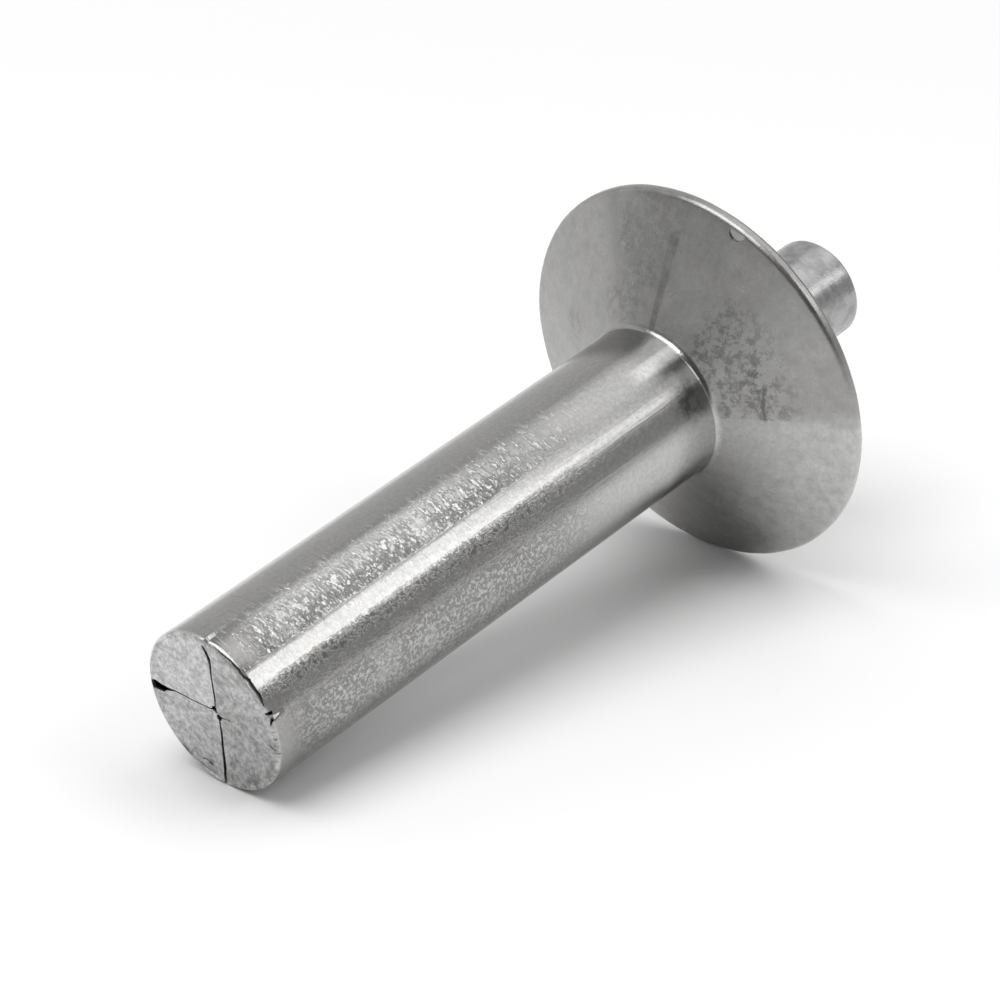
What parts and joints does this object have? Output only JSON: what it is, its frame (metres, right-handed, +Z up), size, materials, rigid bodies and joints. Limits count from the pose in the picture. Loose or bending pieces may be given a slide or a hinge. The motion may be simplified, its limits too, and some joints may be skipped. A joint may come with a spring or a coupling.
{
  "type": "hammer drive rivet",
  "caption": "Countersunk drive rivet lying on its side: an aluminium body whose blind end is split into leaves, with a plain steel drive pin standing proud of its head.",
  "frame": {"origin": "middle of the rivet's box, on the floor it lies on", "axes": "+X along the floor from the blind end to the head and the pin, +Z up, +Y across; the rivet's own axis rises 10.49 degrees from +X towards the head, because the rim of the head and the edge of the blind end both touch the floor"},
  "size_m": [0.0344, 0.0158, 0.0157],
  "materials": {
    "aluminium": "bright drawn shank with fine scuffs, satin cold-headed cone",
    "pin_steel": "smooth bright drawn wire"
  },
  "bodies": {
    "root": {"rivet_body": "aluminium", "drive_pin": "pin_steel"}
  },
  "joints": []
}
